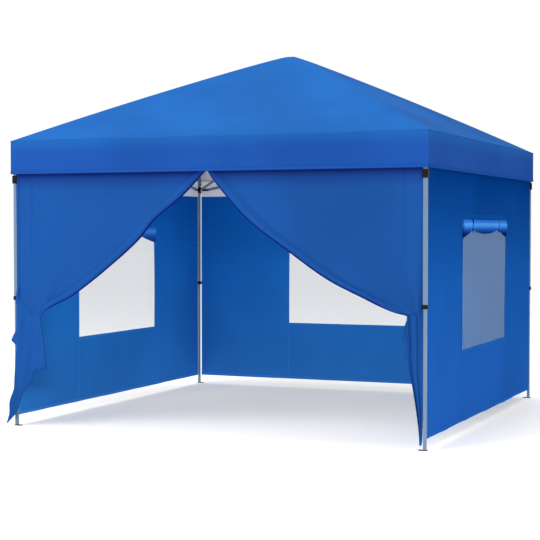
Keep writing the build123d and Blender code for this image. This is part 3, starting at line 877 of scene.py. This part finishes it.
def left_depth(x, z, _):
    """How far the left door stands out of the wall plane: a broad soft drape, then a tail."""
    tx, tz = LEFT_TIE
    dist = np.hypot(x - tx, z - tz)
    angle = np.arctan2(x - tx + 0.03, np.maximum(z - tz, 0.0) + 0.03)
    above = step(z, tz - 0.06, tz + 0.12)
    hung = step(WALL_TOP - z, 0.02, 0.55)
    fan = 0.0125 * np.sin(5.2 * angle + 0.4) * np.exp(-((dist / 0.80) ** 2)) * above
    fan = fan + 0.0070 * np.sin(9.6 * angle + 2.2) * np.exp(-((dist / 0.42) ** 2)) * above
    billow = 0.010 * swell_between((x + 1.46) / 1.46, z, 0.8)
    swell = 0.014 * np.exp(-((dist / 0.16) ** 2))
    tail = 0.0065 + 0.0045 * np.sin(x * 41 + 5.0 * z + 0.8) + 0.0025 * np.sin(x * 83 - 7 * z)
    tail = tail * (1 - above)
    knee = 0.030 * step(-z, -0.62, -0.30)
    beside = 0.0070 * np.exp(-(((x + 1.466) / 0.05) ** 2))
    flare = 0.008 * np.exp(-(((x + 1.25) / 0.03) ** 2)) * (1 - above)
    return 0.0008 + outward_only(hung * (fan + billow + swell) + tail + knee + beside + flare)


def right_depth(x, z, u):
    """The right door: folds that gather beside the leg, then fall in close pleats."""
    tx, tz = RIGHT_TIE
    dist = np.hypot(x - tx, z - tz)
    angle = np.arctan2(tx + 0.04 - x, np.maximum(z - tz, 0.0) + 0.03)
    above = step(z, tz - 0.05, tz + 0.10)
    hung = step(WALL_TOP - z, 0.02, 0.55)
    fan = 0.0140 * np.sin(6.4 * angle + 0.8) * np.exp(-((dist / 0.75) ** 2)) * above
    fan = fan + 0.0085 * np.sin(11.0 * angle + 0.5) * np.exp(-((dist / 0.36) ** 2)) * above
    billow = 0.008 * swell_between((1.46 - x) / 1.46, z, 0.85)
    swell = 0.012 * np.exp(-((dist / 0.15) ** 2))
    pleat = 0.0055 * np.sin(2 * math.pi * (1.9 * u + 0.25 * z) + 0.4)
    pleat = pleat + 0.0030 * np.sin(2 * math.pi * 4.1 * u + 4 * z)
    drape = hung * (fan + billow + swell) + (pleat + 0.008) * (1 - above) * step(z, 0.0, 0.25)
    off = 0.0008 + outward_only(drape)
    return off * np.clip((1.465 - x) / 0.02, 0.1, 1)


def hang_door(side, free, pole, tie, rows, depth):
    """A door panel from its pole edge to its rolled free edge."""
    u = np.linspace(0, 1, FLAT_COLUMNS)
    x_free, x_pole = smooth_line(free, rows), smooth_line(pole, rows)
    x = x_pole[:, None] + (x_free - x_pole)[:, None] * u[None, :]
    z = rows[:, None] * np.ones_like(u)[None, :]
    grid = np.stack([x, -WALL_PLANE - depth(x, z, u[None, :]), z], -1)
    edge = grid[:, -1]
    smooth_edge = edge.copy()
    for _ in range(4):
        smooth_edge[1:-1] = (smooth_edge[:-2] + 2 * smooth_edge[1:-1] + smooth_edge[2:]) / 4
    tangent = np.gradient(smooth_edge, axis=0)
    tangent[:, 1] = 0
    tangent /= np.linalg.norm(tangent, axis=1, keepdims=True)
    beyond = np.cross(tangent, FRONT)
    beyond *= np.sign(np.sum(beyond * (edge - grid[:, 60]), axis=1, keepdims=True))
    size = ROLL_RADIUS[side] * step(rows, tie[1] + 0.012, tie[1] + 0.080) + 0.0030
    size = size * (0.45 + 0.55 * step(WALL_TOP - rows, 0.0, 0.14))
    reach = np.linalg.norm(grid - edge[:, None, :], axis=2)
    share = np.exp(-((reach / (3.2 * size[:, None])) ** 2))
    grid = grid - beyond[:, None, :] * (size[:, None] * share)[..., None]
    grid = grid + FRONT * (0.9 * size[:, None] * share)[..., None]
    edge = grid[:, -1]
    turns = np.linspace(0, ROLL_TURN, 17)[1:]
    roll = [
        edge + beyond * (size * math.sin(a))[:, None] - FRONT * (size * (1 - math.cos(a)))[:, None]
        for a in turns
    ]
    whole = np.concatenate([grid] + [part[:, None, :] for part in roll], axis=1)
    steps = np.linalg.norm(np.diff(whole, axis=1), axis=2)
    run = np.concatenate([np.zeros((len(rows), 1)), np.cumsum(steps, axis=1)], axis=1)
    flip = grid_normals(whole)[-10, 40] @ FRONT < 0
    shade_from = 122 if side == "left" else 120  # columns from here on are the roll's underside, which gets painted shade
    finishes = [2 if j > shade_from else 0 for j in range(run.shape[1] - 1)] * (run.shape[0] - 1)
    cloth = Cloth()
    cloth.shell(
        whole,
        np.stack([run, whole[..., 2]], -1),
        grid_normals(whole, flip),
        cells(*run.shape, flip=flip),
        finishes,
        1,
        thick=0.0012,
    )
    return cloth.make(f"{side}_door_cloth", [m_door, m_door_in, m_door_roll_painted_shade]), whole


def heights(*runs):
    """Heights of a door's rows, closer together where its edge turns."""
    return np.concatenate([np.linspace(*run) for run in runs])


left_rows = heights(
    (0.018, 0.38, 34), (0.386, 0.414, 8), (0.42, 0.752, 30), (0.758, 0.80, 11), (0.812, 1.79, 82)
)
right_rows = heights((0.030, 0.808, 60), (0.814, 0.872, 15), (0.882, 1.79, 76))
left_door, left_grid = hang_door("left", LEFT_FREE, LEFT_POLE, LEFT_TIE, left_rows, left_depth)
right_door, right_grid = hang_door(
    "right", RIGHT_FREE, RIGHT_POLE, RIGHT_TIE, right_rows, right_depth
)

# a lobe of the right door's cloth that hangs behind its tail
lobe_rows = np.linspace(0.545, 0.800, 30)
lobe_free = smooth_line(
    [(1.352, 0.80), (1.338, 0.752), (1.331, 0.690), (1.335, 0.600), (1.346, 0.560), (1.372, 0.545)],
    lobe_rows,
)
lobe_u = np.linspace(0, 1, 25)
lobe_x = lobe_free[:, None] + (1.425 - lobe_free)[:, None] * lobe_u[None, :]
lobe_z = lobe_rows[:, None] * np.ones_like(lobe_u)[None, :]
lobe_off = 0.004 - 0.006 * np.cos(math.pi * lobe_u[None, :] * 1.3)
lobe_off = lobe_off + 0.003 * np.sin(30 * lobe_z + 5 * lobe_u)
lobe_grid = np.stack([lobe_x, -WALL_PLANE + 0.004 - lobe_off, lobe_z], -1)
flip = grid_normals(lobe_grid)[5, 5] @ FRONT < 0
cloth = Cloth()
cloth.shell(
    lobe_grid,
    np.stack([lobe_x, lobe_z], -1),
    grid_normals(lobe_grid, flip),
    cells(*lobe_x.shape, flip=flip),
    0,
    1,
)
right_lobe = cloth.make("right_door_lobe", [m_door, m_door_in])


def depth_at(row, sign, x):
    """Where a row of door points crosses a given x."""
    order = np.argsort(sign * row[:, 0])
    return np.interp(sign * x, sign * row[order, 0], row[order, 1])


for side, cloth_obj, grid, tie_z, free, pole in (
    ("left", left_door, left_grid, 0.79, LEFT_FREE, LEFT_POLE),
    ("right", right_door, right_grid, 0.82, RIGHT_FREE, RIGHT_POLE),
):
    sign = -1 if side == "left" else 1
    body = f"leg_front_{side}"
    trim = Cloth()
    upper = grid[grid[:, 0, 2] > tie_z + 0.05][:, :FLAT_COLUMNS]
    line_x = upper[:, 0, 0] - sign * 0.120
    line_y = np.array([depth_at(row, sign, x) for x, row in zip(line_x, upper)])
    seam = np.stack([line_x, line_y - 0.0004, upper[:, 0, 2]], -1)
    trim.ribbon(seam, (1.0, 0, 0), FRONT, 0.008, 0.0018)
    swag = grid[grid[:, 0, 2] > tie_z + 0.07][:, :FLAT_COLUMNS]
    gap = np.linalg.norm(swag - swag[:, -1:], axis=2)
    for from_edge, wide in ((0.046, 0.007), (0.085, 0.005)):
        near_edge = np.array([row[np.argmin(np.abs(g - from_edge))] for row, g in zip(swag, gap)])
        for _ in range(6):
            near_edge[1:-1] = (near_edge[:-2] + 2 * near_edge[1:-1] + near_edge[2:]) / 4
        run_dir = np.gradient(near_edge, axis=0)
        run_dir /= np.linalg.norm(run_dir, axis=1, keepdims=True)
        trim.ribbon(near_edge + FRONT * 0.0008, np.cross(run_dir, FRONT), FRONT, wide, 0.0016)
    edge_line = upper[:, 0] + np.array([-sign * 0.010, -0.0006, 0])
    trim.ribbon(edge_line, (1.0, 0, 0), FRONT, 0.020, 0.0030)
    top = grid[-2, :FLAT_COLUMNS:3] + np.array([0, -0.001, -0.012])
    trim.ribbon(top, UP, FRONT, 0.024, 0.0036)
    tapes = trim.make(f"{side}_door_hems", [m_door_hem])
    ring = Cloth()
    t = np.linspace(0, 2 * math.pi, 33)
    centre = np.array([sign * (LEG_AXIS - 0.036), -WALL_PLANE + 0.010, tie_z])
    loop = centre + np.stack([0.021 * np.cos(t), 0.0125 * np.sin(t), 0.003 * np.cos(t * 2)], -1)
    radial = np.stack([np.cos(t), np.sin(t), 0 * t], -1)
    ring.ribbon(loop, UP, radial, 0.020, 0.0022)
    strap = ring.make(f"{side}_door_tieback", [m_door_hem])
    extra = [tapes, strap] + ([right_lobe] if side == "right" else [])
    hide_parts(f"{side}_door")
    for piece in [cloth_obj] + extra:
        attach(piece, body)
        fold_into(piece)
    swag_cut(free, pole, ROLL_RADIUS[side])

# ---------------------------------------------------------------- finishes of the frame parts
def repaint(node, materials, choose=None):
    """Give a frame part its finishes; choose picks one for each face from its centre."""
    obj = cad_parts[node]
    mesh = obj.data
    mesh.materials.clear()
    for material in materials:
        mesh.materials.append(material)
    if choose is None:
        picks = np.zeros(len(mesh.polygons), np.int32)
    else:
        picks = np.array([choose(p.center) for p in mesh.polygons], np.int32)
    mesh.polygons.foreach_set("material_index", picks)


LEG_HALF = 0.0127
BRACKET_INSIDE_TOP = 1.961
FOOT_TOP = 0.0034


def leg_finish(centre):
    """The outer leg's tube is steel; its bracket and clamp are black mouldings."""
    dx = abs(abs(centre[0]) - LEG_AXIS)
    dy = abs(abs(centre[1]) - LEG_AXIS)
    return 1 if max(dx, dy) > LEG_HALF or centre[2] > BRACKET_INSIDE_TOP else 0


def inner_leg_finish(centre):
    return 1 if centre[2] < FOOT_TOP else 0


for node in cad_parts:
    if node.startswith("outer_leg"):
        repaint(node, [m_leg, m_black], leg_finish)
    elif node.startswith("inner_leg"):
        repaint(node, [m_leg, m_foot], inner_leg_finish)
    elif node.startswith("slider") or node == "centre_hub":
        repaint(node, [m_black])
    elif node.startswith("leg_button"):
        repaint(node, [m_button])
    elif not node.endswith(("_wall", "_door")) and node != "canopy_roof":
        repaint(node, [m_steel])

# ---------------------------------------------------------------- camera, light, stage
camera = bpy.data.objects.new("camera", bpy.data.cameras.new("camera"))
scene.collection.objects.link(camera)
camera.location = (3.9422, -9.8674, 1.3749)
camera.rotation_euler = (math.radians(90 - 1.698), 0, math.radians(22.66))
camera.data.sensor_width = 36
camera.data.lens = 94.2
scene.camera = camera
scene.view_settings.view_transform = "Standard"

world = bpy.data.worlds.new("studio")
scene.world = world
world.use_nodes = True
tree = world.node_tree
back = tree.nodes["Background"]
back.inputs["Color"].default_value = (1, 1, 1, 1)
path = tree.nodes.new("ShaderNodeLightPath")
level = tree.nodes.new("ShaderNodeMapRange")
level.inputs["To Min"].default_value = 0.72
level.inputs["To Max"].default_value = 1.0
tree.links.new(path.outputs["Is Camera Ray"], level.inputs["Value"])
tree.links.new(level.outputs["Result"], back.inputs["Strength"])


def lamp(name, place, target, size, power):
    data = bpy.data.lights.new(name, "AREA")
    data.shape = "RECTANGLE"
    data.size, data.size_y = size
    data.energy = power
    obj = bpy.data.objects.new(name, data)
    scene.collection.objects.link(obj)
    obj.location = place
    dx, dy, dz = np.array(target) - np.array(place)
    obj.rotation_euler = (math.atan2(math.hypot(dx, dy), -dz), 0, math.atan2(dy, dx) - math.pi / 2)


lamp("key", (-4.5, -8.0, 9.0), (0, 0, 1.5), (6, 6), 650)
lamp("top", (0.5, -0.5, 9.5), (0, 0, 2.0), (7, 7), 350)

floor_mesh = bpy.data.meshes.new("floor")
FLOOR_REACH = 60.0
ends = [(x * FLOOR_REACH, y * FLOOR_REACH, 0) for x, y in ((-1, -1), (1, -1), (1, 1), (-1, 1))]
floor_mesh.from_pydata(ends, [], [(0, 1, 2, 3)])
floor = bpy.data.objects.new("floor", floor_mesh)
scene.collection.objects.link(floor)
paper = Shader("floor_paper", Roughness=0.9)
coords = paper.add("TexCoord")
speck = paper.add("TexNoise", Vector=coords.outputs["Object"], Scale=0.6, Detail=2.0)
# painted shadow: the floor under the canopy is darker and warmer, darkest at the back and lighter
# towards the front, fading to the even floor tone further out
deep = paper.add("SeparateXYZ", Vector=coords.outputs["Object"]).outputs[1]
shaded = paper.mix(speck.outputs["Fac"], (0.660, 0.620, 0.545, 1), (0.680, 0.640, 0.565, 1))
near = paper.mix(paper.ramp(deep, 0.6, -1.3), shaded, (0.760, 0.745, 0.715, 1))
away = paper.add("VectorMath", {"operation": "LENGTH"}, i0=coords.outputs["Object"]).outputs["Value"]
paper.link(paper.mix(paper.ramp(away, 1.5, 2.6), near, (0.88, 0.88, 0.88, 1)), "Base Color")
paper.main.inputs["Emission Color"].default_value = (1, 1, 1, 1)
paper.main.inputs["Emission Strength"].default_value = 0.38
floor_mesh.materials.append(paper.material)
